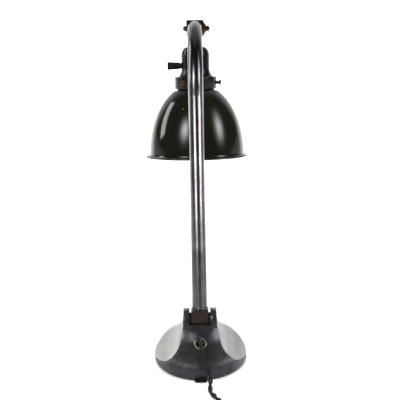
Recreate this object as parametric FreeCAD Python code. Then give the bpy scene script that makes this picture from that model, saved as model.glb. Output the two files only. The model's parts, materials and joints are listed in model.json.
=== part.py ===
import FreeCAD, Part
import math
import os

# Adjustable desk lamp: saddle base, leaning tube arm, swivel head with a bell shade.
# Millimetres. The origin is the centre of the underside, +Z is up, the shade hangs towards +Y
# and the cord leaves at the back, towards -Y.

os.makedirs("parts", exist_ok=True)
Vec = FreeCAD.Vector

# Driving dimensions
base_radius = 66.5
pivot_height = 61.0
lean_angle = 15.0
straight_length = 322.0
bend_radius = 98.0
tube_radius = 10.65
tube_wall = 1.6
joint_reach = 14.0
running_clearance = 0.05
seat_clearance = 0.3
slip_clearance = 0.1
overrun = 5.0

# Base casting: a bell, round at the foot and widening to the ears, cut by a concave scoop on each side
felt_thickness = 1.2
plate_thickness = 1.5
casting_wall = 12.0
cavity_top = 33.0
bell_radius_shares = (1.0, 0.985, 0.941, 0.806, 0.639, 0.517, 0.436, 0.345, 0.24)
bell_width_shares = (1, 1, 1.003, 1.01, 1.03, 1.08, 1.17, 1.38, 1.9)
bell_height_shares = (0.262, 0.33, 0.393, 0.508, 0.639, 0.746, 0.844, 0.934, 1.0)
scoop_width_shares = (1.06, 0.968, 0.892, 0.776, 0.66, 0.532, 0.447, 0.409, 0.372, 0.35)
scoop_height_shares = (0.133, 0.182, 0.234, 0.305, 0.393, 0.51, 0.638, 0.746, 0.95, 1.29)
ear_radius = 17.5
pocket_half_width = 15.2
pocket_clearance = 1.2
boss_radius = 5.0
boss_ring_share = 0.72
boss_count = 3
boss_start_angle = 30.0

# Base plate and what closes the underside
plate_inset = 1.2
felt_inset = 2.5
tab_half_width = 9.0
tab_reach = 5.0
tab_round = 3.0
plate_screw_radius = 2.0
plate_screw_length = 8.0
plate_screw_head_radius = 3.8
plate_screw_head_height = 1.1

# Cord bushing in the back of the casting
bushing_angle = 52.0
bushing_face_back = 38.4
bushing_face_height = 45.4
bushing_outer_radius = 9.0
bushing_bore_radius = 5.7
bushing_neck_radius = 7.4
bushing_flange = 2.2
bushing_length = 15.5
bushing_round = 1.0
locknut_radius = 10.0
locknut_thickness = 3.0

# Stem knuckle and its pivot
knuckle_half_width = 12.25
knuckle_radius = 12.0
knuckle_top = 17.3
knuckle_edge = 1.2
spigot_length = 18.0
pivot_bolt_radius = 4.0
pivot_seat_radius = 7.0
pivot_seat_depth = 3.4
pivot_head_radius = 6.6
pivot_slot_width = 1.4
pivot_slot_depth = 1.2
washer_radius = 11.0
grub_radius = 2.0
grub_height = 27.0
grub_proud = 0.8

# Inner flex, from the base to the socket
flex_radius = 2.2
flex_clearance = 0.3
flex_offset = 7.4
flex_slant = 2.6
flex_drop = 5.2
flex_rise_back = 10.0
flex_entry = 23.0
flex_sag_share = 0.5
flex_rise_share = 0.7

# Swivel joint at the end of the arm
cheek_inner = 9.2
cheek_thickness = 3.2
cheek_radius = 12.0
bridge_thickness = 3.4
fork_spigot_length = 14.0
fork_spigot_wall = 1.05
hub_radius = 10.0
joint_bolt_radius = 2.5
joint_head_radius = 4.2
joint_head_height = 5.6
cone_length = 4.8
cone_small_radius = 4.9
wing_boss_radius = 3.9
wing_boss_length = 3.4
wing_span = 6.4
wing_root = 2.6
wing_thickness = 2.0
wing_flare = 3.6
joint_bolt_end = 22.4

# Head, hanging from the joint axis: depths are measured down from it
neck_radius = 7.0
neck_depth = 24.6
nipple_radius = 5.0
nipple_depth = 37.0
ring_radius = 11.5
ring_depth = 24.6
cap_top = 27.2
cap_radius = 21.25
cap_shoulder = 41.5
cap_flare_start = 59.6
cap_bottom = 71.8
flare_radius = 26.2
sheet_wall = 1.2
cap_dome_share = 0.72
flare_middle_depth = 67.0
flare_middle_share = 0.33
nipple_nut_radius = 8.5
nipple_nut_thickness = 3.0

# Socket insert
insert_flange_top = 44.0
insert_flange_depth = 50.0
insert_radius = 18.0
insert_bottom = 80.0
insert_pocket_radius = 14.6
insert_pocket_top = 52.0
shell_radius = 14.3
shell_wall = 0.55
shell_top = 53.0
shell_bottom = 78.0
contact_radius = 4.0
contact_thickness = 1.6
terminal_radius = 2.2
terminal_height = 2.4
terminal_offset = 11.0

# Switch key on the left of the cap
key_depth = 55.0
key_neck_radius = 4.2
key_collar_length = 2.4
key_collar_radius = 5.2
key_stem_start = 15.5
key_neck_end = 25.4
key_outer_end = 42.2
key_half_height = 5.9
key_root_half_height = 5.0
key_half_thickness = 2.5
key_round = 1.1

# Shade gallery with its three thumbscrews
gallery_radius = 31.5
gallery_top = 71.8
gallery_bottom = 89.6
gallery_hole_radius = 18.6
gallery_edge = 1.0
holder_ring_radius = 24.0
holder_ring_height = 3.6
screw_depth = 80.8
screw_count = 3
screw_angle = 238.4
screw_shank_radius = 1.9
screw_head_radius = 3.8
screw_waist_radius = 2.4
screw_head_length = 6.2
screw_head_gap = 0.6

# Shade: a neck inside the gallery, then a half ellipse down to a flared lip
shade_neck_radius = 28.2
shade_neck_top = 76.8
shade_bead = 1.0
shade_shoulder = 92.4
shade_shoulder_radius = 33.0
shade_wall = 0.8
shade_radius = 71.5
shade_level = 186.0
shade_ellipse_height = 105.4
lip_radius = 76.2
lip_level = 191.2
lip_bead_radius = 1.5
wall_steps = 8

# Lamp bulb
bulb_cap_radius = 13.3
bulb_tip_depth = 53.8
bulb_tip_radius = 4.5
bulb_insulator_depth = 56.0
bulb_cap_top = 59.0
bulb_cap_bottom = 80.5
bulb_cap_wall = 0.6
bulb_cap_corner_share = 0.75
bulb_neck_seat = 4.5
bulb_neck_radius = 12.6
bulb_globe_radius = 30.0
bulb_globe_depth = 131.0
bulb_glass_wall = 0.9
bulb_join_angle = 25.8
bulb_belly_angle = 28.6
bulb_mount_radius = 4.0
bulb_mount_bottom = 108.0
filament_radius = 0.5
filament_ring_radius = 11.0
filament_depth = 118.0
filament_leg_radius = 0.45

# Cord: a twisted pair, loose on the floor and then put away in a coil
cord_radius = 3.5
corner_share = 0.45
exit_rise = 6.5
floor_clearance = 0.05
coil_centre_x = -12.0
coil_centre_y = -198.0
coil_inner_radius = 30.3
coil_pitch = 7.6
coil_layer = 7.6
coil_turns = 3
coil_out_turns = 2.625
climb_turns = 0.5
turn_steps = 4
tangent_turn = 0.002
neighbour_samples = 6
coil_end_straight = 7.0
tail_length = 30.0
tie_thickness = 1.0
tie_half_width = 4.0
tie_clearance = 0.3

# Plug on the end of the cord
plug_back_radius = 6.2
plug_length = 34.0
plug_taper_length = 14.0
plug_edge = 1.5
pin_length = 17.0
pin_half_height = 3.2
pin_half_thickness = 0.8
pin_spacing_half = 6.35
pin_sunk = 6.0

# Derived places
cord_diameter = cord_radius + cord_radius
casting_bottom = felt_thickness + plate_thickness
knuckle_bottom_gap = knuckle_radius + pocket_clearance
joint_forward = bend_radius + joint_reach
joint_along = straight_length + bend_radius
tube_bore_radius = tube_radius - tube_wall
spigot_radius = tube_bore_radius - running_clearance
cheek_outer = cheek_inner + cheek_thickness
coil_outer_radius = coil_inner_radius + coil_pitch * coil_turns
coil_floor = cord_radius + tie_thickness + tie_clearance
plug_radius = coil_floor + coil_layer - floor_clearance


# Small helpers
def rod(radius, length, start, direction):
    return Part.makeCylinder(radius, length, start, direction)


def box(x0, x1, y0, y1, z0, z1):
    return Part.makeBox(x1 - x0, y1 - y0, z1 - z0, Vec(x0, y0, z0))


def spline(points, start_tangent=None, end_tangent=None):
    curve = Part.BSplineCurve()
    if start_tangent is None:
        curve.interpolate(Points=points)
    else:
        curve.interpolate(Points=points, InitialTangent=start_tangent, FinalTangent=end_tangent)
    return curve.toShape()


def polyline(points):
    return [Part.LineSegment(a, b).toShape() for a, b in zip(points, points[1:])]


def turned(edges):
    face = Part.Face(Part.Wire(edges))
    return face.revolve(Vec(0, 0, 0), Vec(0, 0, 1), 360)


def turned_outline(pairs):
    points = [Vec(radius, 0, height) for radius, height in pairs]
    return turned(polyline(points + points[:1]))


def arm_place(shape):
    shape.rotate(Vec(0, 0, 0), Vec(1, 0, 0), -lean_angle)
    shape.translate(Vec(0, 0, pivot_height))
    return shape


def head_place(shape):
    shape.translate(Vec(0, joint_forward, joint_along))
    return arm_place(shape)


def write(name, *solids):
    found = [solid for shape in solids for solid in shape.Solids]
    shape = found[0] if len(found) == 1 else Part.makeCompound(found)
    valid = all(solid.isValid() and solid.Volume > 0 for solid in found)
    shape.exportStep("parts/" + name + ".step")
    box_text = " ".join(f"{value:.1f}" for value in (
        shape.BoundBox.XMin, shape.BoundBox.XMax, shape.BoundBox.YMin,
        shape.BoundBox.YMax, shape.BoundBox.ZMin, shape.BoundBox.ZMax))
    print(f"{name:20s} solids {len(found)} valid {valid} volume {shape.Volume:.0f} box {box_text}")
    return shape


# Base casting
def bell_body():
    sections = []
    for r, h, wide in zip(bell_radius_shares, bell_height_shares, bell_width_shares):
        radius = base_radius * r
        centre = Vec(0, 0, pivot_height * h)
        if wide == 1:
            ring = Part.Circle(centre, Vec(0, 0, 1), radius)
        else:
            ring = Part.Ellipse(centre + Vec(radius * wide, 0, 0), centre + Vec(0, radius, 0), centre)
        sections.append(Part.Wire(ring.toShape()))
    first = pivot_height * bell_height_shares[0]
    foot = rod(base_radius, first - casting_bottom, Vec(0, 0, casting_bottom), Vec(0, 0, 1))
    return Part.makeLoft(sections, True, False).fuse(foot)


def saddle(inset, top):
    bell = [Vec(base_radius * r - inset, 0, pivot_height * h - inset)
            for r, h in zip(bell_radius_shares, bell_height_shares)]
    foot = Vec(bell[0].x, 0, casting_bottom)
    crown = Vec(0, 0, bell[-1].z)
    edges = polyline([crown, Vec(0, 0, casting_bottom), foot, bell[0]])
    edges.append(spline(bell, Vec(0, 0, 1), Vec(-1, 0, 0)))
    edges += polyline([bell[-1], crown])
    shape = turned(edges)
    if inset == 0:
        ears = rod(ear_radius, base_radius, Vec(-base_radius / 2, 0, pivot_height), Vec(1, 0, 0))
        shape = bell_body().fuse(ears)
    right = [Vec(base_radius * x - inset, -base_radius - overrun, pivot_height * z - inset)
             for x, z in zip(scoop_width_shares, scoop_height_shares)]
    left = [Vec(-point.x, point.y, point.z) for point in reversed(right)]
    low_right = Vec(right[0].x, right[0].y, 0)
    low_left = Vec(left[-1].x, right[0].y, 0)
    outline = [spline(right)] + polyline([right[-1], left[0]]) + [spline(left)]
    outline += polyline([left[-1], low_left, low_right, right[0]])
    along = Part.Face(Part.Wire(outline)).extrude(Vec(0, 2 * (base_radius + overrun), 0))
    shape = shape.common(along)
    if top:
        shape = shape.common(box(-base_radius, base_radius, -base_radius, base_radius, 0, top))
    return shape


def boss_places():
    ring = base_radius * boss_ring_share
    angles = [math.radians(boss_start_angle + 360 * k / boss_count) for k in range(boss_count)]
    return [Vec(ring * math.cos(a), ring * math.sin(a), 0) for a in angles]


bushing_out = Vec(0, -math.cos(math.radians(bushing_angle)), math.sin(math.radians(bushing_angle)))
bushing_face = Vec(0, -bushing_face_back, bushing_face_height)
bushing_seat = bushing_face - bushing_out * bushing_flange
up = Vec(0, 0, 1)
side = Vec(1, 0, 0)
pivot = Vec(0, 0, pivot_height)

outer = saddle(0, 0)
bosses = [rod(boss_radius, cavity_top, place + up * casting_bottom, up) for place in boss_places()]
cavity = saddle(casting_wall, cavity_top)
for boss in bosses:
    cavity = cavity.cut(boss)
casting = outer.cut(cavity)
pocket = rod(knuckle_bottom_gap, 2 * pocket_half_width, pivot - side * pocket_half_width, side)
pocket = pocket.fuse(box(-pocket_half_width, pocket_half_width, -knuckle_bottom_gap, knuckle_bottom_gap,
                         pivot_height, pivot_height + ear_radius + overrun))
pocket = pocket.fuse(box(-pocket_half_width, pocket_half_width, 0, base_radius,
                         pivot_height - knuckle_bottom_gap, pivot_height + ear_radius + overrun))
back_clear = box(-pocket_half_width, pocket_half_width, -base_radius, 0,
                 pivot_height, pivot_height + ear_radius + overrun)
casting = casting.cut(pocket.fuse(back_clear))
casting = casting.cut(rod(pivot_bolt_radius + running_clearance, 2 * base_radius, pivot - side * base_radius, side))
ear_outer = base_radius * scoop_width_shares[-1]
for sign in (-1, 1):
    seat = pivot + side * sign * (ear_outer - pivot_seat_depth)
    casting = casting.cut(rod(pivot_seat_radius, base_radius, seat, side * sign))
casting = casting.cut(rod(bushing_neck_radius + slip_clearance, bushing_length + bushing_flange,
                          bushing_face, bushing_out * -1))
casting = casting.cut(rod(bushing_outer_radius + slip_clearance, base_radius, bushing_seat, bushing_out))
lock_outer = bushing_seat - bushing_out * (bushing_length - bushing_flange - locknut_thickness)
casting = casting.cut(rod(locknut_radius + seat_clearance, base_radius / 2, lock_outer, bushing_out * -1)
                      .common(box(-base_radius, base_radius, -base_radius, base_radius, 0, bushing_face_height)))
casting = casting.cut(rod(flex_radius + flex_clearance, pivot_height, Vec(0, flex_rise_back, casting_bottom), up))
for place in boss_places():
    casting = casting.cut(rod(plate_screw_radius + running_clearance, plate_screw_length + overrun / 2,
                              place + up * casting_bottom, up))
write("base_casting", casting)

# Base plate with the tab at the back, felt and screws
plate_radius = base_radius - plate_inset
plate = rod(plate_radius, plate_thickness, up * felt_thickness, up)
tab_end = base_radius + tab_reach
tab = box(-tab_half_width, tab_half_width, -tab_end, 0, felt_thickness, casting_bottom)
tab_corners = [edge for edge in tab.Edges if edge.BoundBox.ZLength > plate_thickness / 2
               and edge.BoundBox.YMax < -tab_reach]
plate = plate.fuse(tab.makeFillet(tab_round, tab_corners))
felt = rod(base_radius - felt_inset, felt_thickness, Vec(0, 0, 0), up)
screws = []
for place in boss_places():
    head_low = place + up * felt_thickness
    head = Part.makeCone(plate_screw_head_radius, plate_screw_radius, plate_screw_head_height, head_low, up)
    shank = rod(plate_screw_radius, plate_screw_length, head_low, up)
    screws.append(head.fuse(shank).removeSplitter())
    opened = Part.makeCone(plate_screw_head_radius, plate_screw_radius, plate_screw_head_height, head_low, up)
    plate = plate.cut(opened.fuse(rod(plate_screw_radius, plate_thickness, head_low, up)))
    felt = felt.cut(rod(plate_screw_head_radius + seat_clearance, felt_thickness, place, up))
write("base_plate", plate)
write("base_felt", felt)
write("base_plate_screws", *screws)

# Cord bushing and its locknut
bushing = rod(bushing_outer_radius, bushing_flange, bushing_seat, bushing_out)
bushing = bushing.fuse(rod(bushing_neck_radius, bushing_length - bushing_flange,
                           bushing_seat, bushing_out * -1))
bushing = bushing.cut(rod(bushing_bore_radius, bushing_length + overrun,
                          bushing_face + bushing_out * (overrun / 2), bushing_out * -1))
rims = [edge for edge in bushing.Edges if abs(edge.CenterOfMass.sub(bushing_face).dot(bushing_out)) < running_clearance]
bushing = bushing.makeFillet(bushing_round, rims)
write("cord_bushing", bushing)
locknut = rod(locknut_radius, locknut_thickness, lock_outer, bushing_out * -1)
locknut = locknut.cut(rod(bushing_neck_radius, bushing_length, lock_outer, bushing_out * -1))
write("bushing_locknut", locknut)

# Pivot bolt, nut and friction washers
seat_left = pivot - side * (ear_outer - pivot_seat_depth)
seat_right = pivot + side * (ear_outer - pivot_seat_depth)
bolt_reach = 2 * (ear_outer - pivot_seat_depth) + pivot_seat_depth
bolt = rod(pivot_bolt_radius, bolt_reach, seat_left, side)
bolt = bolt.fuse(rod(pivot_head_radius, pivot_seat_depth, seat_left, side * -1))
slot_low = seat_left - side * pivot_seat_depth
bolt = bolt.cut(box(slot_low.x, slot_low.x + pivot_slot_depth, -pivot_head_radius, pivot_head_radius,
                    pivot_height - pivot_slot_width / 2, pivot_height + pivot_slot_width / 2))
write("pivot_bolt", bolt)
nut = rod(pivot_head_radius, pivot_seat_depth, seat_right, side)
nut = nut.cut(rod(pivot_bolt_radius, pivot_seat_depth, seat_right, side))
for sign in (-1, 1):
    notch_at = sign * (pivot_head_radius + pivot_bolt_radius) / 2
    nut = nut.cut(box(seat_right.x + pivot_seat_depth - pivot_slot_depth, seat_right.x + pivot_seat_depth,
                      notch_at - pivot_slot_depth, notch_at + pivot_slot_depth,
                      pivot_height - pivot_slot_width / 2, pivot_height + pivot_slot_width / 2))
write("pivot_nut", nut)
washers = []
for sign in (-1, 1):
    inner_face = pivot + side * sign * (knuckle_half_width + running_clearance)
    thickness = pocket_half_width - knuckle_half_width - running_clearance
    washer = rod(washer_radius, thickness, inner_face, side * sign)
    washers.append(washer.cut(rod(pivot_bolt_radius, thickness, inner_face, side * sign)))
write("pivot_washers", *washers)

# Stem knuckle: a block with a round underside and a spigot inside the tube
low = -knuckle_radius
knuckle = box(-knuckle_half_width, knuckle_half_width, low, knuckle_radius, 0, knuckle_top)
knuckle = knuckle.fuse(rod(knuckle_radius, 2 * knuckle_half_width, side * -knuckle_half_width, side))
knuckle = knuckle.removeSplitter()
top_edges = [edge for edge in knuckle.Edges if edge.CenterOfMass.z > knuckle_top - knuckle_edge]
knuckle = knuckle.makeFillet(knuckle_edge, top_edges)
knuckle = knuckle.fuse(rod(spigot_radius, spigot_length, up * (knuckle_top - knuckle_edge), up))
knuckle = knuckle.cut(rod(pivot_bolt_radius + running_clearance, 2 * tube_radius + knuckle_radius,
                          side * -(tube_radius + knuckle_radius / 2), side))
flex_turn = math.atan2(flex_slant, knuckle_top)
flex_up = Vec(0, -math.sin(flex_turn), math.cos(flex_turn))
flex_low = Vec(0, flex_offset, 0) - flex_up * (knuckle_radius - pivot_bolt_radius)
passage = rod(flex_radius + flex_clearance, 2 * (knuckle_top + spigot_length),
              flex_low - flex_up * knuckle_radius, flex_up)
knuckle = knuckle.cut(passage)
grub_hole = rod(grub_radius, tube_radius, up * grub_height + Vec(0, tube_bore_radius / 2 + grub_radius, 0), Vec(0, 1, 0))
knuckle = knuckle.cut(grub_hole)
write("stem_knuckle", arm_place(knuckle))


# Arm tube: straight, then a quarter bend forward
def tube_piece(radius):
    straight = rod(radius, straight_length - knuckle_top, up * knuckle_top, up)
    circle = Part.Face(Part.Wire(Part.Circle(up * straight_length, up, radius).toShape()))
    bend = circle.revolve(Vec(0, bend_radius, straight_length), side * -1, 90)
    return straight, bend


outer_pieces = tube_piece(tube_radius)
inner_pieces = tube_piece(tube_bore_radius)
arm = outer_pieces[0].cut(inner_pieces[0]).fuse(outer_pieces[1].cut(inner_pieces[1]))
arm = arm.removeSplitter().cut(grub_hole)
write("arm_tube", arm_place(arm))
grub = rod(grub_radius, tube_radius + grub_proud - tube_bore_radius / 2 - grub_radius,
           up * grub_height + Vec(0, tube_bore_radius / 2 + grub_radius, 0), Vec(0, 1, 0))
write("tube_screw", arm_place(grub))

# Arm fork: spigot in the tube, bridge and two round cheeks
forward = Vec(0, 1, 0)
arm_end = Vec(0, bend_radius, joint_along)
joint = Vec(0, joint_forward, joint_along)


def bent_spigot(radius):
    face = Part.Face(Part.Wire(Part.Circle(arm_end, forward, radius).toShape()))
    turn = math.degrees(fork_spigot_length / bend_radius)
    return face.revolve(Vec(0, bend_radius, straight_length), side, turn)


fork = box(-cheek_outer, cheek_outer, bend_radius, bend_radius + bridge_thickness,
           joint_along - tube_bore_radius, joint_along + cheek_radius)
fork = fork.fuse(bent_spigot(spigot_radius))
for sign in (-1, 1):
    start = joint + side * sign * cheek_inner
    cheek = rod(cheek_radius, cheek_thickness, start, side * sign)
    x0, x1 = sorted((sign * cheek_inner, sign * cheek_outer))
    web = box(x0, x1, bend_radius, joint_forward, joint_along - tube_bore_radius, joint_along + cheek_radius)
    fork = fork.fuse(cheek).fuse(web)
fork = fork.cut(rod(joint_bolt_radius + running_clearance, 2 * (cheek_outer + overrun),
                    joint - side * (cheek_outer + overrun), side))
fork = fork.cut(bent_spigot(spigot_radius - fork_spigot_wall))
fork = fork.cut(rod(spigot_radius - fork_spigot_wall, bridge_thickness, arm_end, forward))
write("arm_fork", arm_place(fork.removeSplitter()))


# Bolt, cone washer and wing nut of the swivel
def dome(radius, height, base, direction):
    ball_radius = (radius ** 2 + height ** 2) / (2 * height)
    centre = base + direction * (height - ball_radius)
    return Part.makeSphere(ball_radius, centre).common(rod(radius, height, base, direction))


head_side = joint - side * cheek_outer
joint_bolt = rod(joint_bolt_radius, cheek_outer + joint_bolt_end, head_side, side)
joint_bolt = joint_bolt.fuse(dome(joint_head_radius, joint_head_height, head_side, side * -1))
write("joint_bolt", arm_place(joint_bolt))
nut_side = joint + side * cheek_outer
cone = Part.makeCone(cheek_radius, cone_small_radius, cone_length, nut_side, side)
cone = cone.cut(rod(joint_bolt_radius, cone_length, nut_side, side))
write("cone_washer", arm_place(cone))
wing_start = nut_side + side * cone_length
wing_nut = rod(wing_boss_radius, wing_boss_length, wing_start, side)
for sign in (-1, 1):
    corners = [(0, wing_root), (wing_flare / 3, wing_root), (wing_flare, wing_span),
               (wing_boss_length + wing_flare / 4, wing_span), (wing_boss_length, wing_root)]
    points = [wing_start + Vec(along, -wing_thickness / 2, sign * out) for along, out in corners]
    blade = Part.Face(Part.Wire(polyline(points + points[:1]))).extrude(Vec(0, wing_thickness, 0))
    wing_nut = wing_nut.fuse(blade)
wing_nut = wing_nut.cut(rod(joint_bolt_radius + running_clearance, 2 * joint_bolt_end,
                            wing_start - side * overrun, side))
write("wing_nut", arm_place(wing_nut.removeSplitter()))


# Routes: straight runs joined by tangent arcs
def corner_arc(before, corner, after, radius):
    into = (corner - before).normalize()
    out = (after - corner).normalize()
    half = into.getAngle(out) / 2
    setback = radius * math.tan(half)
    start = corner - into * setback
    end = corner + out * setback
    inward = (out - into).normalize()
    middle = corner + inward * (radius / math.cos(half) - radius)
    return start, middle, end


def smooth_radius(before, corner, after):
    half = (corner - before).getAngle(after - corner) / 2
    shorter = min((corner - before).Length, (after - corner).Length)
    return corner_share * shorter / math.tan(half)


def route_wire(points, radii=None):
    edges = []
    last = points[0]
    for k in range(1, len(points) - 1):
        trio = points[k - 1:k + 2]
        radius = radii[k - 1] if radii else smooth_radius(*trio)
        start, middle, end = corner_arc(*trio, radius)
        edges.append(Part.LineSegment(last, start).toShape())
        edges.append(Part.Arc(start, middle, end).toShape())
        last = end
    edges.append(Part.LineSegment(last, points[-1]).toShape())
    return Part.Wire(edges)


def sweep(wire, radius, start, direction):
    profile = Part.Wire(Part.Circle(start, direction, radius).toShape())
    return wire.makePipeShell([profile], True, False)


def route_tube(points, radius, radii=None):
    wire = route_wire(points, radii)
    solid = sweep(wire, radius, points[0], points[1] - points[0])
    area = math.pi * radius ** 2
    print(f"   tube volume over section times length {solid.Volume / (area * wire.Length):.4f} "
          f"length {wire.Length:.1f}")
    return solid


# Inner flex in the base, in the arm and in the head
base_flex_points = [
    bushing_face,
    bushing_face - bushing_out * flex_entry,
    Vec(0, 0, cavity_top * flex_sag_share),
    Vec(0, flex_rise_back, cavity_top * flex_rise_share),
    Vec(0, flex_rise_back, pivot_height - knuckle_bottom_gap),
]
write("base_flex", route_tube(base_flex_points, flex_radius))
arm_low = flex_low + flex_up * flex_clearance
tube_entry = flex_low + flex_up * (flex_low.y / math.sin(flex_turn))
fork_mouth = Vec(0, bend_radius + bridge_thickness, joint_along - flex_drop)
stem_flex_points = [arm_low, tube_entry, Vec(0, 0, fork_mouth.z), fork_mouth]
stem_flex = route_tube(stem_flex_points, flex_radius, [straight_length / 2, bend_radius - flex_drop])
write("stem_flex", arm_place(stem_flex))

# Swivel tongue: a hub between the cheeks, a neck and a threaded nipple
hub_half = cheek_inner - running_clearance
down = up * -1
tongue = rod(hub_radius, 2 * hub_half, side * -hub_half, side)
tongue = tongue.fuse(rod(neck_radius, neck_depth, Vec(0, 0, 0), down))
tongue = tongue.fuse(rod(nipple_radius, nipple_depth, Vec(0, 0, 0), down))
tongue = tongue.cut(rod(joint_bolt_radius + running_clearance, 2 * hub_radius + overrun,
                        side * -(hub_radius + overrun / 2), side))
channel_radius = flex_radius + slip_clearance
channel_back = Vec(0, -hub_radius - overrun, -flex_drop)
channel_turn = Vec(0, 0, -flex_drop)
tongue = tongue.cut(rod(channel_radius, hub_radius + overrun, channel_back, forward))
tongue = tongue.cut(rod(channel_radius, nipple_depth, channel_turn, down))
tongue = tongue.cut(Part.makeSphere(channel_radius, channel_turn))
write("swivel_tongue", head_place(tongue))
flex_back = -math.sqrt(hub_radius ** 2 - flex_drop ** 2)
head_flex_points = [Vec(0, flex_back, -flex_drop), channel_turn, up * -(insert_flange_top)]
head_flex = route_tube(head_flex_points, flex_radius, [flex_radius + slip_clearance])
write("head_flex", head_place(head_flex))
cap_ring = rod(ring_radius, cap_top - ring_depth, up * -cap_top, up)
cap_ring = cap_ring.cut(rod(nipple_radius, cap_top, up * -(cap_top + overrun), up))
write("cap_ring", head_place(cap_ring))


# Socket cap: a domed shell with a flared foot
def cap_outline(inset):
    top = -cap_top - inset
    shoulder_radius = cap_radius - inset
    flat_radius = ring_radius - inset / 2
    points = [
        Vec(flat_radius, 0, top),
        Vec(flat_radius + (shoulder_radius - flat_radius) * cap_dome_share, 0,
            top - (cap_shoulder - cap_top) * (1 - cap_dome_share)),
        Vec(shoulder_radius, 0, -cap_shoulder),
    ]
    dome_edge = spline(points, Vec(1, 0, 0), Vec(0, 0, -1))
    straight = polyline([points[-1], Vec(shoulder_radius, 0, -cap_flare_start)])
    flare_points = [
        Vec(shoulder_radius, 0, -cap_flare_start),
        Vec(shoulder_radius + (flare_radius - cap_radius) * flare_middle_share, 0, -flare_middle_depth),
        Vec(flare_radius - inset, 0, -cap_bottom),
    ]
    flare_edge = spline(flare_points, Vec(0, 0, -1), Vec(1, 0, -1))
    return points[0], [dome_edge] + straight + [flare_edge], flare_points[-1]


outer_start, outer_edges, outer_end = cap_outline(0)
inner_start, inner_edges, inner_end = cap_outline(sheet_wall)
hole_top = Vec(nipple_radius + running_clearance, 0, -cap_top)
hole_low = Vec(nipple_radius + running_clearance, 0, -cap_top - sheet_wall)
cap_edges = polyline([hole_low, hole_top, outer_start]) + outer_edges
cap_edges += polyline([outer_end, inner_end]) + inner_edges + polyline([inner_start, hole_low])
cap = turned(Part.__sortEdges__(cap_edges))
key_hole = rod(key_neck_radius + slip_clearance, flare_radius, Vec(0, 0, -key_depth), side * -1)
cap = cap.cut(key_hole)
write("socket_cap", head_place(cap))
nipple_nut = rod(nipple_nut_radius, nipple_nut_thickness, up * -(cap_top + sheet_wall), down)
nipple_nut = nipple_nut.cut(rod(nipple_radius, nipple_nut_thickness, up * -(cap_top + sheet_wall), down))
write("nipple_nut", head_place(nipple_nut))

# Porcelain insert with its screw shell, contact and terminals
flange_radius = cap_radius - sheet_wall - seat_clearance
insert = turned_outline([
    (0, -insert_flange_top), (flange_radius, -insert_flange_top), (flange_radius, -insert_flange_depth),
    (insert_radius, -insert_flange_depth), (insert_radius, -insert_bottom),
    (insert_pocket_radius, -insert_bottom), (insert_pocket_radius, -insert_pocket_top), (0, -insert_pocket_top),
])
insert = insert.cut(rod(key_neck_radius + slip_clearance, insert_radius,
                        Vec(-key_stem_start, 0, -key_depth), side * -1))
write("socket_insert", head_place(insert))
shell = rod(shell_radius, shell_bottom - shell_top, up * -shell_bottom, up)
shell = shell.cut(rod(shell_radius - shell_wall, shell_bottom, up * -shell_bottom, up))
write("screw_shell", head_place(shell))
contact = rod(contact_radius, contact_thickness, up * -insert_pocket_top, down)
write("centre_contact", head_place(contact))
terminals = [rod(terminal_radius, terminal_height, Vec(sign * terminal_offset, 0, -insert_flange_top), up)
             for sign in (-1, 1)]
write("terminal_screws", *[head_place(screw) for screw in terminals])

# Switch key: round stem, collar and a tapered flat grip
key = rod(key_neck_radius, key_neck_end - key_stem_start, Vec(-key_stem_start, 0, -key_depth), side * -1)
collar_at = Vec(-key_neck_end + key_collar_length / 2, 0, -key_depth)
key = key.fuse(rod(key_collar_radius, key_collar_length, collar_at, side * -1))
grip_corners = [
    Vec(-key_neck_end, -key_half_thickness, -key_depth - key_root_half_height),
    Vec(-key_outer_end, -key_half_thickness, -key_depth - key_half_height),
    Vec(-key_outer_end, -key_half_thickness, -key_depth + key_half_height),
    Vec(-key_neck_end, -key_half_thickness, -key_depth + key_root_half_height),
]
grip = Part.Face(Part.Wire(polyline(grip_corners + grip_corners[:1]))).extrude(Vec(0, 2 * key_half_thickness, 0))
grip = grip.makeFillet(key_round, grip.Edges)
key = key.fuse(grip)
write("switch_key", head_place(key))

# Shade gallery, the ring that holds it and three thumbscrews
gallery = rod(gallery_radius, gallery_bottom - gallery_top, up * -gallery_bottom, up)
rim_edges = [edge for edge in gallery.Edges if edge.CenterOfMass.z > -gallery_top - gallery_edge]
gallery = gallery.makeFillet(gallery_edge, rim_edges)
gallery = gallery.cut(rod(gallery_radius - sheet_wall, gallery_bottom - gallery_top - sheet_wall,
                          up * -gallery_bottom, up))
gallery = gallery.cut(rod(gallery_hole_radius, gallery_bottom, up * -gallery_bottom, up))


def screw_direction(index):
    angle = math.radians(screw_angle + 360 * index / screw_count)
    return Vec(math.cos(angle), math.sin(angle), 0)


for index in range(screw_count):
    gallery = gallery.cut(rod(screw_shank_radius + running_clearance, gallery_radius, up * -screw_depth,
                              screw_direction(index)))
write("shade_gallery", head_place(gallery))
holder = rod(holder_ring_radius, holder_ring_height, up * -(gallery_top + sheet_wall), down)
holder = holder.cut(rod(insert_radius, holder_ring_height, up * -(gallery_top + sheet_wall), down))
write("holder_ring", head_place(holder))
for index in range(screw_count):
    out = screw_direction(index)
    centre = up * -screw_depth
    tip = centre + out * (shade_neck_radius + seat_clearance)
    head_start = centre + out * (gallery_radius + screw_head_gap)
    shank = rod(screw_shank_radius, gallery_radius + screw_head_gap - shade_neck_radius - seat_clearance, tip, out)
    half = screw_head_length / 2
    inner_half = Part.makeCone(screw_waist_radius, screw_head_radius, half, head_start, out)
    outer_half = rod(screw_head_radius, half, head_start + out * half, out)
    write(f"gallery_screw_{index + 1}", head_place(shank.fuse(inner_half).fuse(outer_half)))


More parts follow.
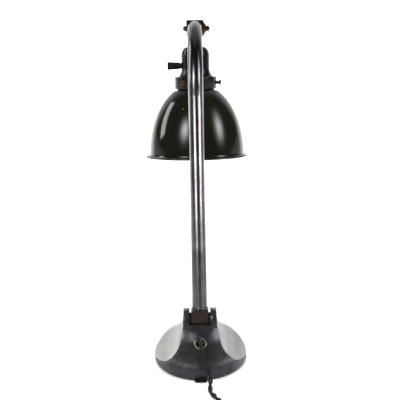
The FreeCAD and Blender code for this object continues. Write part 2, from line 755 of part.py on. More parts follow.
# Shade: neck, shoulder, half ellipse and flared lip with a rolled edge
def ellipse_edge(inset):
    radius = shade_radius - inset
    height = shade_ellipse_height - inset
    start = math.acos((shade_shoulder_radius - inset) / radius)
    turns = [start * (1 - k / wall_steps) for k in range(wall_steps + 1)]
    points = [Vec(radius * math.cos(turn), 0, -shade_level + height * math.sin(turn)) for turn in turns]
    return points, spline(points)


outer_points, outer_wall = ellipse_edge(0)
inner_points, inner_wall = ellipse_edge(shade_wall)
neck_inner = shade_neck_radius - shade_wall
shoulder_low = outer_points[0].z
bead_out = shade_neck_radius + shade_bead
lip_start_out = outer_points[-1]
lip_start_in = inner_points[-1]
lip_out = Vec(lip_radius, 0, -lip_level + shade_wall)
lip_in = Vec(lip_radius, 0, -lip_level)
lip_outer = spline([lip_start_out, Vec((shade_radius + lip_radius) / 2 - shade_wall, 0,
                                       -(shade_level + lip_level) / 2 + shade_wall / 2), lip_out],
                   Vec(0, 0, -1), Vec(1, 0, 0))
lip_inner = spline([lip_start_in, Vec((shade_radius + lip_radius) / 2 - 2 * shade_wall, 0,
                                      -(shade_level + lip_level) / 2 - shade_wall / 2), lip_in],
                   Vec(0, 0, -1), Vec(1, 0, 0))
neck_side = [
    inner_points[0], Vec(neck_inner, 0, inner_points[0].z), Vec(neck_inner, 0, -shade_neck_top),
    Vec(bead_out, 0, -shade_neck_top), Vec(bead_out, 0, -shade_neck_top - 2 * shade_bead),
    Vec(shade_neck_radius, 0, -shade_neck_top - 2 * shade_bead), Vec(shade_neck_radius, 0, shoulder_low),
    outer_points[0],
]
shade_edges = polyline(neck_side) + [outer_wall, lip_outer]
shade_edges += polyline([lip_out, lip_in]) + [lip_inner, inner_wall]
shade = turned(Part.__sortEdges__(shade_edges))
lip_ring = Part.makeTorus(lip_radius, lip_bead_radius, up * -(lip_level - shade_wall / 2), up)
shade = shade.fuse(lip_ring)
write("shade", head_place(shade))

# Lamp bulb: cap, glass and filament mount
cap_inner = bulb_cap_radius - bulb_cap_wall
cap_ceiling = bulb_cap_top + 2 * bulb_glass_wall
cap_body = turned_outline([
    (0, -bulb_tip_depth), (bulb_tip_radius, -bulb_tip_depth), (bulb_tip_radius, -bulb_insulator_depth),
    (bulb_cap_radius * bulb_cap_corner_share, -bulb_cap_top), (bulb_cap_radius, -bulb_cap_top - bulb_glass_wall),
    (bulb_cap_radius, -bulb_cap_bottom), (cap_inner, -bulb_cap_bottom), (cap_inner, -cap_ceiling), (0, -cap_ceiling),
])
write("bulb_cap", head_place(cap_body))


def bulb_outline(inset):
    radius = bulb_globe_radius - inset
    neck = bulb_neck_radius - inset
    join_turn = math.radians(bulb_join_angle)
    belly_turn = math.radians(bulb_belly_angle)
    join = Vec(radius * math.cos(join_turn), 0, -bulb_globe_depth + radius * math.sin(join_turn))
    top = Vec(neck, 0, -bulb_cap_bottom + bulb_neck_seat)
    neck_low = Vec(neck, 0, -bulb_cap_bottom)
    tangent = Vec(math.sin(join_turn), 0, -math.cos(join_turn))
    neck_edges = polyline([top, neck_low]) + [spline([neck_low, join], Vec(0, 0, -1), tangent)]
    bottom = Vec(0, 0, -bulb_globe_depth - radius)
    belly = Vec(radius * math.cos(belly_turn), 0, -bulb_globe_depth - radius * math.sin(belly_turn))
    return top, neck_edges, Part.Arc(join, belly, bottom).toShape(), bottom


glass_top, glass_neck, glass_arc, glass_low = bulb_outline(0)
hollow_top, hollow_neck, hollow_arc, hollow_low = bulb_outline(bulb_glass_wall)
glass_edges = polyline([hollow_top, glass_top]) + glass_neck + [glass_arc]
glass_edges += polyline([glass_low, hollow_low]) + [hollow_arc] + hollow_neck
glass = turned(Part.__sortEdges__(glass_edges))
write("bulb_glass", head_place(glass))
mount = rod(bulb_mount_radius, bulb_mount_bottom - cap_ceiling - seat_clearance, up * -bulb_mount_bottom, up)
filament = Part.makeTorus(filament_ring_radius, filament_radius, up * -filament_depth, up)
for sign in (-1, 1):
    leg_top = Vec(sign * bulb_mount_radius / 2, 0, -bulb_mount_bottom + bulb_mount_radius)
    leg_low = Vec(sign * filament_ring_radius, 0, -filament_depth)
    filament = filament.fuse(rod(filament_leg_radius, (leg_low - leg_top).Length, leg_top, leg_low - leg_top))
write("bulb_filament", head_place(mount.fuse(filament)))

# Cord on the floor: points chosen along the way that it lies in use
floor_line = cord_radius + floor_clearance
cord_points = [
    bushing_face,
    bushing_face + bushing_out * exit_rise,
    Vec(0.5, -49.3, 51.5),
    Vec(1.2, -59.6, 45.0),
    Vec(3.4, -66.2, 35.1),
    Vec(8.8, -71.5, 24.3),
    Vec(12.8, -76.3, 14.4),
    Vec(13.4, -83.6, 7.6),
    Vec(12.2, -92.9, floor_line + 0.3),
    Vec(14.2, -102.5, floor_line),
    Vec(19.6, -112.0, floor_line),
    Vec(25.5, -122.0, floor_line),
    Vec(31.0, -135.0, floor_line + 0.2),
    Vec(36.2, -152.0, floor_line + 0.7),
    Vec(coil_centre_x + coil_outer_radius, -172.0, coil_floor),
    Vec(coil_centre_x + coil_outer_radius + 0.01, coil_centre_y + coil_end_straight, coil_floor),
]
for k in range(1, len(cord_points) - 1):
    trio = cord_points[k - 1:k + 2]
    print(f"   cord radius at point {k}: {smooth_radius(*trio):.1f} run {(trio[1] - trio[0]).Length:.1f}")
cord_lead = route_tube(cord_points, cord_radius)
write("cord_lead", cord_lead)


# Cord coil: in along the floor layer, up in half a turn, and out along the upper layer
def coil_point(turn):
    if turn <= coil_turns:
        radius = coil_outer_radius - coil_pitch * turn
        height = coil_floor
    elif turn <= coil_turns + climb_turns:
        climbed = (turn - coil_turns) / climb_turns
        radius = coil_inner_radius - coil_pitch * climb_turns * min(climbed, 1 - climbed)
        height = coil_floor + coil_layer * climbed ** 2 * (3 - 2 * climbed)
    else:
        radius = coil_inner_radius + coil_pitch * (turn - coil_turns - climb_turns)
        height = coil_floor + coil_layer
    angle = -2 * math.pi * turn
    return Vec(coil_centre_x + radius * math.cos(angle), coil_centre_y + radius * math.sin(angle), height)


def coil_tangent(turn):
    ahead = min(turn + tangent_turn, coil_turns + climb_turns + coil_out_turns)
    behind = max(turn - tangent_turn, 0)
    return (coil_point(ahead) - coil_point(behind)).normalize()


def biarc(start, start_tangent, end, end_tangent):
    chord = end - start
    both = start_tangent + end_tangent
    a = both.dot(both) - 4
    b = -2 * chord.dot(both)
    c = chord.dot(chord)
    reach = (-b - math.sqrt(b * b - 4 * a * c)) / (2 * a)
    knee_1 = start + start_tangent * reach
    knee_2 = end - end_tangent * reach
    join = (knee_1 + knee_2) * 0.5
    arcs = []
    for first, knee, last in ((start, knee_1, join), (join, knee_2, end)):
        half_turn = (knee - first).getAngle(last - knee) / 2
        inward = ((first + last) * 0.5 - knee)
        radius = reach / math.tan(half_turn)
        middle = knee + inward.normalize() * (radius / math.cos(half_turn) - radius)
        arcs.append(Part.Arc(first, middle, last))
    return arcs


total_turns = coil_turns + climb_turns + coil_out_turns
quarter = 1 / turn_steps
stations = [quarter * k for k in range(math.ceil(total_turns / quarter))] + [total_turns]
coil_path = [Part.LineSegment(cord_points[-1], coil_point(0)).toShape()]
start_tangent = (coil_point(0) - cord_points[-1]).normalize()
arc_list = []
for first, last in zip(stations, stations[1:]):
    begin = start_tangent if first == 0 else coil_tangent(first)
    arc_list += biarc(coil_point(first), begin, coil_point(last), coil_tangent(last))
coil_path += [arc.toShape() for arc in arc_list]
coil_stop = coil_point(total_turns)
tail_direction = coil_tangent(total_turns)
tail_end = coil_stop + tail_direction * tail_length
coil_path.append(Part.LineSegment(coil_stop, tail_end).toShape())
coil_wire = Part.Wire(coil_path)
coil = sweep(coil_wire, cord_radius, cord_points[-1], start_tangent)
samples = coil_wire.discretize(Distance=cord_radius)
least = min((a - b).Length for i, a in enumerate(samples) for b in samples[i + neighbour_samples:])
print(f"   coil least gap to itself {least - cord_diameter:.2f} length {coil_wire.Length:.1f} "
      f"ratio {coil.Volume / (math.pi * cord_radius ** 2 * coil_wire.Length):.4f} "
      f"least radius {min(arc.toShape().Curve.Radius for arc in arc_list):.1f}")
write("cord_coil", coil)

# Tie round the turns, on the side away from the lead
tie_in = coil_inner_radius - coil_pitch * climb_turns / 2 - cord_radius - tie_clearance
tie_out = coil_outer_radius + cord_radius + tie_clearance
tie_low = tie_thickness
tie_high = coil_floor + coil_layer + cord_radius + tie_clearance
x_in = coil_centre_x - tie_in
x_out = coil_centre_x - tie_out
tie = box(x_out - tie_thickness, x_in + tie_thickness, coil_centre_y - tie_half_width,
          coil_centre_y + tie_half_width, 0, tie_high + tie_thickness)
long_edges = [edge for edge in tie.Edges if edge.BoundBox.YLength > tie_half_width]
tie = tie.makeFillet(tie_thickness + tie_clearance, long_edges)
tie = tie.cut(box(x_out, x_in, coil_centre_y - tie_half_width, coil_centre_y + tie_half_width,
                  tie_low, tie_high))
write("coil_tie", tie)

# Plug beside the coil, its two flat pins level
plug_axis = Vec(tail_direction.x, tail_direction.y, 0).normalize()
plug_edges = [
    (0, 0), (plug_back_radius, 0), (plug_radius, plug_taper_length), (plug_radius, plug_length - plug_edge),
    (plug_radius - plug_edge, plug_length), (0, plug_length),
]
plug = turned_outline(plug_edges)
cross = plug_axis.cross(up)
placing = FreeCAD.Placement(tail_end, FreeCAD.Rotation(cross, up, plug_axis, "ZXY"))
pins = []
for sign in (-1, 1):
    centre = sign * pin_spacing_half
    pin = box(centre - pin_half_thickness, centre + pin_half_thickness, -pin_half_height, pin_half_height,
              plug_length - pin_sunk, plug_length + pin_length)
    plug = plug.cut(pin)
    pin.Placement = placing.multiply(pin.Placement)
    pins.append(pin)
plug.Placement = placing
print(f"   plug lowest point above the floor {plug.BoundBox.ZMin:.2f}")
write("plug_body", plug)
write("plug_pins", *pins)
total = route_wire(cord_points).Length + coil_wire.Length
print(f"   cord length in all {total:.1f}")
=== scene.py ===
# %% [markdown]
# An adjustable desk lamp from the workshop age: a saddle-cut cast base, a burnished tube arm that
# leans away from the viewer, a swivel joint, a keyed socket and a bell shade in dark olive enamel.
# Its construction is loaded first, as a fixed frame at its real size in metres. Everything after
# that is finish: surfaces, a rolled lip, knurled screws and the twisted cord.

# %% Load the frame
import json
import math

import bmesh
import bpy
from mathutils import Matrix, Vector


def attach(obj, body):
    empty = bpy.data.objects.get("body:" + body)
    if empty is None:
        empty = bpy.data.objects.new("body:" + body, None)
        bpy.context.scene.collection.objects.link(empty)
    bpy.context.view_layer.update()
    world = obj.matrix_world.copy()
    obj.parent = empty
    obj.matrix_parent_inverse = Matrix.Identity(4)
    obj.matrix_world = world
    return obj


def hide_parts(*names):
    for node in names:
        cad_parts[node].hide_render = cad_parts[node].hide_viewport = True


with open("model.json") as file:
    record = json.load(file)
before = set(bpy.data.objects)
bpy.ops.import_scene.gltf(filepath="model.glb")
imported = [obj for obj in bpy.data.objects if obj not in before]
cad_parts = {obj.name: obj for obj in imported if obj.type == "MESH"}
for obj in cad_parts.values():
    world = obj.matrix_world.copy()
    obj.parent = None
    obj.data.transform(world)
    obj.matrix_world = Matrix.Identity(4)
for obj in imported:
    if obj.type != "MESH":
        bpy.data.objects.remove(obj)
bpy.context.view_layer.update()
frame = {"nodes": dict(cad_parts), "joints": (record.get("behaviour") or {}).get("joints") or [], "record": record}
nodes = frame["nodes"]
MM = 0.001

# %% [markdown]
# A material is a graph of small nodes. Drawn by hand in the editor, each needs a click for every
# link, so a few helpers write such graphs as if they were recipes. One adds a node and feeds its
# inputs with values or with other nodes, and the others stand for the kinds that are used most.
# Colours are given as the hex values that a painter would pick from the screen, and one function
# turns them into the linear values that shaders want.


# %% Helpers for colours and nodes
def colour(hex_text):
    channels = [int(hex_text[k:k + 2], 16) / 255 for k in (1, 3, 5)]
    bend = [c / 12.92 if c <= 0.04045 else ((c + 0.055) / 1.055) ** 2.4 for c in channels]
    return (*bend, 1.0)


def grey(value):
    return (value, value, value, 1.0)


def feed(tree, node, inputs):
    """Gives each named input of a node a value, or a link from another node."""
    for key, value in inputs.items():
        if isinstance(value, bpy.types.NodeSocket):
            tree.links.new(value, node.inputs[key])
        else:
            node.inputs[key].default_value = value


def add(tree, kind, inputs=None, **settings):
    """A new node with its settings and inputs."""
    node = tree.nodes.new(kind)
    for key, value in settings.items():
        setattr(node, key, value)
    feed(tree, node, inputs or {})
    return node


def calc(tree, operation, *values):
    """One step of arithmetic."""
    return add(tree, "ShaderNodeMath", dict(enumerate(values)), operation=operation).outputs[0]


def fade(tree, value, start, stop, low=0.0, high=1.0):
    """Low up to start, high from stop on, and a straight run between them."""
    return add(tree, "ShaderNodeMapRange", {"Value": value, "From Min": start, "From Max": stop,
                                            "To Min": low, "To Max": high}).outputs["Result"]


def blend(tree, factor, first, second, **settings):
    """Two colours mixed by a factor."""
    return add(tree, "ShaderNodeMix", {"Factor": factor, "A": first, "B": second},
               data_type="RGBA", **settings).outputs["Result"]


def blend_value(tree, factor, first, second):
    """Two plain numbers mixed by a factor."""
    return add(tree, "ShaderNodeMix", {"Factor": factor, 2: first, 3: second},
               data_type="FLOAT").outputs[0]


def ramp(tree, factor, *stops):
    """A run of colours, with each stop as a place and a colour."""
    made = add(tree, "ShaderNodeValToRGB", {"Fac": factor})
    elements = made.color_ramp.elements
    elements[0].position, elements[0].color = stops[0]
    elements[1].position, elements[1].color = stops[-1]
    for position, value in stops[1:-1]:
        elements.new(position).color = value
    return made.outputs["Color"]


def new_material(name):
    material = bpy.data.materials.new(name)
    material.use_nodes = True
    tree = material.node_tree
    tree.nodes.clear()
    shader = add(tree, "ShaderNodeBsdfPrincipled")
    add(tree, "ShaderNodeOutputMaterial", {"Surface": shader.outputs["BSDF"]})
    return material, tree, shader


print("middle grey on the screen is", round(colour("#808080")[0], 3), "in linear light")

# %% [markdown]
# The camera stands where the photographer stood: behind the lamp, above it and looking down by
# about 22 degrees, far enough away for a long lens. A small roll is part of the picture too. The
# place was fitted to points measured in the picture, because one set by eye is never quite right.

# %% Camera
CAMERA_PLACE = (0.00319, -1.27044, 0.77121)
CAMERA_PITCH, CAMERA_ROLL = 22.37, 1.05
CAMERA_LENS, SENSOR_WIDTH = 90.0, 36.0
camera_data = bpy.data.cameras.new("camera")
camera_data.lens = CAMERA_LENS
camera_data.sensor_width = SENSOR_WIDTH
camera_data.sensor_fit = "HORIZONTAL"
camera = bpy.data.objects.new("camera", camera_data)
bpy.context.scene.collection.objects.link(camera)
bpy.context.scene.camera = camera
tilt = Matrix.Rotation(math.radians(90 - CAMERA_PITCH), 4, "X")
roll = Matrix.Rotation(math.radians(-CAMERA_ROLL), 4, "Z")
camera.matrix_world = Matrix.Translation(CAMERA_PLACE) @ tilt @ roll
print("camera lens", CAMERA_LENS, "mm")

# %% [markdown]
# The lamp was photographed on white paper that stays white up to the edges of the picture. Here a
# plane stands for the paper. Lamps alone would leave it grey, so it also glows, more with the
# distance from the lamp, and the soft shadow stays where it glows least. In reflections the paper
# is dark on the camera's side, because white on every side takes the contrast out of bare metal.

# %% Floor
FLOOR_HALF = 12.0
SHADOW_REACH, WHITE_REACH = 0.35, 1.6
NEAR_GLOW, FAR_GLOW, LEAST_GLOSS_GLOW = 0.14, 1.0, 0.6
PAPER, PAPER_IN_METAL = 0.8, 0.3
GLOW_LOST = 0.85
WALL_EDGE, WALL_BLEND = 0.7, 0.1


def azimuth_of(tree, direction):
    """How far a direction turns from the camera's side, from 0 to 1 straight behind the lamp."""
    split = add(tree, "ShaderNodeSeparateXYZ", {0: direction})
    back = calc(tree, "MULTIPLY", split.outputs["Y"], -1.0)
    turn = calc(tree, "ARCTAN2", split.outputs["X"], back)
    return calc(tree, "ABSOLUTE", calc(tree, "MULTIPLY", turn, 1 / math.pi))


def deselect():
    if bpy.context.object and bpy.context.object.mode != "OBJECT":
        bpy.ops.object.mode_set(mode="OBJECT")
    bpy.ops.object.select_all(action="DESELECT")


deselect()
bpy.ops.mesh.primitive_plane_add(size=2 * FLOOR_HALF, location=(0, 0, 0))
floor = bpy.context.object
floor.name = "studio_floor"

paper, tree, shader = new_material("studio_white")
rays = add(tree, "ShaderNodeLightPath").outputs
spot = add(tree, "ShaderNodeTexCoord").outputs["Object"]
near_side = ramp(tree, azimuth_of(tree, spot), (0.0, grey(1.0)), (WALL_EDGE, grey(1.0)),
                 (WALL_EDGE + WALL_BLEND, grey(0.0)), (1.0, grey(0.0)))
dimmed = calc(tree, "MULTIPLY", near_side, rays["Is Glossy Ray"])
seen = calc(tree, "MAXIMUM", rays["Is Camera Ray"], rays["Is Glossy Ray"])
seen = calc(tree, "MAXIMUM", seen, rays["Is Transmission Ray"])
distance = add(tree, "ShaderNodeVectorMath", {0: spot}, operation="LENGTH").outputs["Value"]
glow = fade(tree, distance, SHADOW_REACH, WHITE_REACH, NEAR_GLOW, FAR_GLOW)
glow = calc(tree, "MAXIMUM", glow, calc(tree, "MULTIPLY", rays["Is Glossy Ray"], LEAST_GLOSS_GLOW))
kept = calc(tree, "MULTIPLY_ADD", dimmed, -GLOW_LOST, 1.0)
glow = calc(tree, "MULTIPLY", calc(tree, "MULTIPLY", seen, glow), kept)
feed(tree, shader, {"Base Color": blend(tree, dimmed, grey(PAPER), grey(PAPER_IN_METAL)),
                    "Roughness": 0.9, "Specular IOR Level": 0.0,
                    "Emission Color": grey(1.0), "Emission Strength": glow})
floor.data.materials.append(paper)
print("floor", 2 * FLOOR_HALF, "m wide")

# %% [markdown]
# Bare metal shows the room around it. This room has a white wall behind the lamp, dark ones at its
# sides and on the camera's side, and a ceiling that darkens overhead. Five soft glows, high up on
# both sides, make the broad highlights on the shade. A photographed studio could be wrapped round
# the scene instead, but in a graph each light moves by one number. Each glow has its turn from the
# camera's side and its rise, in degrees, and its power. The camera itself sees white.

# %% Walls, ceiling and glows
GLOWS = ((-37, 34, 4.6), (-37, 42, 4.0), (68, 24, 3.4), (72, 32, 4.4), (80, 40, 1.2))
GLOW_SHAPE = ((0.94, grey(0.0)), (0.97, grey(0.06)), (0.988, grey(0.34)), (1.0, grey(1.0)))
world = bpy.data.worlds.new("studio")
bpy.context.scene.world = world
world.use_nodes = True
tree = world.node_tree
tree.nodes.clear()
direction = add(tree, "ShaderNodeTexCoord").outputs["Generated"]
height = add(tree, "ShaderNodeSeparateXYZ", {0: direction}).outputs["Z"]
walls = ramp(tree, azimuth_of(tree, direction), (0.0, grey(0.03)), (WALL_EDGE, grey(0.04)),
             (WALL_EDGE + WALL_BLEND, grey(0.85)), (1.0, grey(0.95)))
ceiling = ramp(tree, height, (0.0, grey(1.0)), (0.3, grey(0.85)), (0.6, grey(0.3)), (1.0, grey(0.12)))
room = blend(tree, 1.0, walls, ceiling, blend_type="MULTIPLY")
for turn, rise, power in GLOWS:
    turn, rise = math.radians(turn), math.radians(rise)
    middle = (math.sin(turn) * math.cos(rise), -math.cos(turn) * math.cos(rise), math.sin(rise))
    near = add(tree, "ShaderNodeVectorMath", {0: direction, 1: middle}, operation="DOT_PRODUCT")
    lobe = ramp(tree, near.outputs["Value"], *GLOW_SHAPE)
    bright = add(tree, "ShaderNodeVectorMath", {0: lobe, "Scale": power}, operation="SCALE")
    room = add(tree, "ShaderNodeVectorMath", {0: room, 1: bright.outputs[0]}, operation="ADD").outputs[0]
rays = add(tree, "ShaderNodeLightPath").outputs
shine = add(tree, "ShaderNodeBackground", {"Color": blend(tree, rays["Is Camera Ray"], room, grey(1.0)),
                                           "Strength": 1.0})
add(tree, "ShaderNodeOutputWorld", {"Surface": shine.outputs["Background"]})
bpy.context.scene.view_settings.view_transform = "Standard"
print("glows", len(GLOWS))

# %% [markdown]
# Soft boxes light the scene, as in a studio. The three large ones aren't seen in reflections, so
# they draw no hard rectangles on the enamel. One strip, behind the lamp and to its left, is seen.
# It is turned about its own axis, so that its long side slants and its image does too. Each box
# has a place, a target, a width and a height in metres, and a power in watts.

# %% Soft boxes
SOFT_BOXES = (("soft_box_left", (-1.5, -1.15, 1.35), (0, 0.1, 0.3), 0.6, 1.0, 20),
              ("soft_box_right", (1.6, -1.0, 1.35), (0, 0.1, 0.3), 0.6, 1.0, 18),
              ("soft_box_top", (0, 0.2, 2.3), (0, 0.05, 0.2), 1.6, 1.6, 56))
STRIP_PLACE, STRIP_TARGET = (-1.421, 0.687, 0.88), (0, 0.17, 0.3)
STRIP_SLANT = (0.564, 0.556, 0.69)
STRIP_LONG, STRIP_WIDE, STRIP_POWER = 1.05, 0.42, 5.2


def soft_box(name, place, target, width, height, power, seen=False, only=None):
    """A lit rectangle that faces its target, seen in reflections or not, for all or only for some."""
    light = bpy.data.lights.new(name, "AREA")
    light.shape = "RECTANGLE"
    light.size, light.size_y = width, height
    light.energy = power
    lamp = bpy.data.objects.new(name, light)
    bpy.context.scene.collection.objects.link(lamp)
    lamp.location = place
    lamp.rotation_mode = "QUATERNION"
    lamp.rotation_quaternion = (Vector(target) - Vector(place)).to_track_quat("-Z", "Y")
    lamp.visible_glossy = seen
    lamp.visible_camera = False
    if only:
        lamp.light_linking.receiver_collection = only
    return lamp


for box in SOFT_BOXES:
    soft_box(*box)
strip = soft_box("strip_light", STRIP_PLACE, STRIP_TARGET, STRIP_LONG, STRIP_WIDE, STRIP_POWER, True)
inward = (Vector(STRIP_TARGET) - strip.location).normalized()
slant = Vector(STRIP_SLANT)
slant = (slant - inward * slant.dot(inward)).normalized()
strip.rotation_quaternion = Matrix((slant, slant.cross(inward), -inward)).transposed().to_quaternion()
print("soft boxes", len(SOFT_BOXES), "and a strip of", STRIP_LONG, "m")

# %% [markdown]
# A photographer holds narrow cards beside bare metal to draw its highlights, and hides them from
# the rest. Light linking does that here without hiding: six small strips stand round the stem, and
# each lights only the pieces of its group. So the enamel, the cord and the floor aren't changed.
# A strip has its turn round the stem in degrees, its distance, height, two sides and power.

# %% Strips for bare metal
STEM = (0.0, 0.08)


def lit_only(name, *pieces):
    group = bpy.data.collections.new(name)
    for piece in pieces:
        group.objects.link(nodes[piece])
    return group


stem_metal = lit_only("stem_metal", "arm_tube", "stem_knuckle")
bare_metal = lit_only("bare_metal", "arm_tube", "stem_knuckle", "base_casting", "cord_bushing")
cast_metal = lit_only("cast_metal", "base_casting", "cord_bushing")
METAL_STRIPS = (("stem_strip_left", -26, 1.5, 0.5, 0.66, 0.34, 5.4, stem_metal),
                ("stem_strip_right", 52, 1.5, 0.46, 0.78, 0.36, 7.0, stem_metal),
                ("edge_strip_left", -122, 0.55, 0.2, 0.36, 0.36, 0.5, bare_metal),
                ("edge_strip_right", 124, 0.55, 0.2, 0.36, 0.36, 0.3, bare_metal),
                ("bell_strip_left", -84, 1.2, 0.6, 0.3, 0.5, 3.2, cast_metal),
                ("bell_strip_right", 84, 1.2, 0.6, 0.26, 0.5, 2.4, cast_metal))
for name, turn, distance, height, wide, tall, power, group in METAL_STRIPS:
    turn = math.radians(turn)
    place = (STEM[0] + distance * math.sin(turn), STEM[1] - distance * math.cos(turn), height)
    soft_box(name, place, (*STEM, height), wide, tall, power, True, group)
print("strips for bare metal", len(METAL_STRIPS))

# %% [markdown]
# The cord leaves the bushing, bends over its rim, runs down the back of the base and wanders over
# the table. What the picture doesn't show of it is put away in a neat coil: three turns inwards on
# the table, half a turn that climbs, and the rest outwards on top. The free part is a list of
# points in millimetres, and a formula works out the coil.

# %% The cord's route
ROUTE = [
    (0.0, -38.4, 45.4), (0.0, -42.4, 50.52), (0.5, -49.3, 51.5), (1.2, -59.6, 45.0), (3.4, -66.2, 35.1),
    (8.8, -71.5, 24.3), (12.8, -76.3, 14.4), (13.4, -83.6, 7.6), (12.2, -92.9, 3.85), (14.2, -102.5, 3.55),
    (19.6, -112.0, 3.55), (25.5, -122.0, 3.55), (31.0, -135.0, 3.75), (36.2, -152.0, 4.25),
    (41.1, -172.0, 4.8),
]
COIL_CENTRE, COIL_FLOOR = (-12.0, -198.0), 4.8
COIL_INNER, COIL_PITCH, COIL_LAYER = 30.3, 7.6, 7.6
COIL_TURNS, CLIMB_TURNS, OUT_TURNS = 3, 0.5, 2.625
COIL_OUTER = COIL_INNER + COIL_PITCH * COIL_TURNS
TAIL_LENGTH = 30.0
POINTS_PER_TURN = 16
LITTLE_TURN = 0.002


def coil_point(turn, swell=1.0):
    """The place on the coil after a number of turns, with its radius swollen by a factor."""
    if turn <= COIL_TURNS:
        radius, height = COIL_OUTER - COIL_PITCH * turn, COIL_FLOOR
    elif turn <= COIL_TURNS + CLIMB_TURNS:
        climbed = (turn - COIL_TURNS) / CLIMB_TURNS
        radius = COIL_INNER - COIL_PITCH * CLIMB_TURNS * min(climbed, 1 - climbed)
        height = COIL_FLOOR + COIL_LAYER * climbed ** 2 * (3 - 2 * climbed)
    else:
        radius = COIL_INNER + COIL_PITCH * (turn - COIL_TURNS - CLIMB_TURNS)
        height = COIL_FLOOR + COIL_LAYER
    angle = -2 * math.pi * turn
    return Vector((COIL_CENTRE[0] + swell * radius * math.cos(angle),
                   COIL_CENTRE[1] + swell * radius * math.sin(angle), height))


total_turns = COIL_TURNS + CLIMB_TURNS + OUT_TURNS
corner_swell = 1 / math.cos(math.pi / POINTS_PER_TURN)
steps = round(total_turns * POINTS_PER_TURN)
coil = [coil_point(total_turns * k / steps, corner_swell) for k in range(steps + 1)]
coil_end = coil_point(total_turns)
tail_way = (coil_end - coil_point(total_turns - LITTLE_TURN)).normalized()
control_points = [Vector(p) for p in ROUTE] + coil[:-1] + [coil_end, coil_end + tail_way * TAIL_LENGTH]
print("control points", len(control_points), "turns", total_turns)

# %% [markdown]
# One smooth line carries the whole route, so that the cord has no kinks. The points are the corners
# of a quadratic spline, which touches the middle of each side between them. That is why the coil's
# corners stand a little outside its true radius. The line's length is the cord's length.

# %% One line for the cord
CURVE_ORDER, POINTS_PER_SPAN = 3, 8
curve = bpy.data.curves.new("cord_route", "CURVE")
curve.dimensions = "3D"
spline = curve.splines.new("NURBS")
spline.points.add(len(control_points) - 1)
for point, place in zip(spline.points, control_points):
    point.co = (*(place * MM), 1.0)
spline.order_u = CURVE_ORDER
spline.use_endpoint_u = True
spline.resolution_u = POINTS_PER_SPAN
route_object = bpy.data.objects.new("cord_route", curve)
line = [v.co.copy() for v in bpy.data.meshes.new_from_object(route_object).vertices]
bpy.data.objects.remove(route_object)

# %% [markdown]
# What winds round a line needs points at an even step, and at each of them a side that doesn't spin
# about the line. The line's own curvature would give a side too, but it flips where the bend
# changes hands, so each side is carried over from the one before.


# %% Steps and sides along a line
def even_points(points, step):
    """Points at an even step along a line, and the line's length."""
    distances = [0.0]
    for a, b in zip(points, points[1:]):
        distances.append(distances[-1] + (b - a).length)
    count = max(2, round(distances[-1] / step))
    out, k = [], 0
    for index in range(count + 1):
        wanted = distances[-1] * index / count
        while k < len(points) - 2 and distances[k + 1] < wanted:
            k += 1
        span = distances[k + 1] - distances[k]
        share = 0 if span == 0 else (wanted - distances[k]) / span
        out.append(points[k].lerp(points[k + 1], share))
    return out, distances[-1]


def frames_along(points):
    """At each point the way of the line, and a side square to it that doesn't spin."""
    sides, ways = [], []
    side = Vector((1, 0, 0))
    for k in range(len(points)):
        way = (points[min(k + 1, len(points) - 1)] - points[max(k - 1, 0)]).normalized()
        side = (side - way * side.dot(way)).normalized()
        sides.append(side)
        ways.append(way)
    return sides, ways


RING_STEP = 1.5 * MM
ring_points, ring_length = even_points(line, RING_STEP)
print("rings", len(ring_points))

# %% [markdown]
# The cord is two cotton-covered wires twisted together. Each strand is a mesh tube. Its rings
# follow the route and turn round it with the lay of the twist. The two strands touch, so each is
# as thick as the cord's radius. A UV map runs along and round every strand, for the braid of its
# cover. A screw modifier could twist two circles, but only along a straight cord.

# %% Twisted strands
CORD_RADIUS = 3.5 * MM
TWIST_PITCH = 27.0 * MM
STRAND_RADIUS = CORD_RADIUS / 2
STRAND_FIT = 0.985
RING_SIDES = 10


def strand_centres(points, start, length):
    """The middle line of one strand, wound round the route from a start angle."""
    centres = []
    for k, (point, side, way) in enumerate(zip(points, *frames_along(points))):
        turn = start + 2 * math.pi * (k / (len(points) - 1)) * length / TWIST_PITCH
        out = side * math.cos(turn) + way.cross(side) * math.sin(turn)
        centres.append(point + out * STRAND_RADIUS)
    return centres


def add_strand(builder, uv_layer, centres, length):
    """A tube round a strand's middle line, with its UV map and both ends closed."""
    rings = []
    for centre, side, way in zip(centres, *frames_along(centres)):
        other = way.cross(side)
        ring = []
        for s in range(RING_SIDES):
            a = 2 * math.pi * s / RING_SIDES
            out = side * math.cos(a) + other * math.sin(a)
            ring.append(builder.verts.new(centre + out * STRAND_RADIUS * STRAND_FIT))
        rings.append(ring)
    for k, (near, far) in enumerate(zip(rings, rings[1:])):
        low, high = (index / (len(rings) - 1) * length for index in (k, k + 1))
        for s in range(RING_SIDES):
            t = (s + 1) % RING_SIDES
            face = builder.faces.new((near[s], near[t], far[t], far[s]))
            face.smooth = True
            left, right = s / RING_SIDES, (s + 1) / RING_SIDES
            corners = ((left, low), (right, low), (right, high), (left, high))
            for loop, corner in zip(face.loops, corners):
                loop[uv_layer].uv = corner
    builder.faces.new(list(reversed(rings[0])))
    builder.faces.new(rings[-1])


builder = bmesh.new()
uv_layer = builder.loops.layers.uv.new("along")
for start in (0.0, math.pi):
    add_strand(builder, uv_layer, strand_centres(ring_points, start, ring_length), ring_length)
cord_mesh = bpy.data.meshes.new("twisted_cord")
builder.to_mesh(cord_mesh)
builder.free()
cord = bpy.data.objects.new("twisted_cord", cord_mesh)
bpy.context.scene.collection.objects.link(cord)
print("cord faces", len(cord_mesh.polygons))

# %% [markdown]
# Braided cotton is matte and slightly fuzzy. Its plait is drawn with two sets of fine diagonal
# ribs, coarser than the real half-millimetre threads so that they still show. Real threads would
# be millions of faces for the same look. The sheen is the fuzz.

# %% Cotton braid
RIB_WIDTH, RIBS_ROUND = 1.1 * MM, 4.0


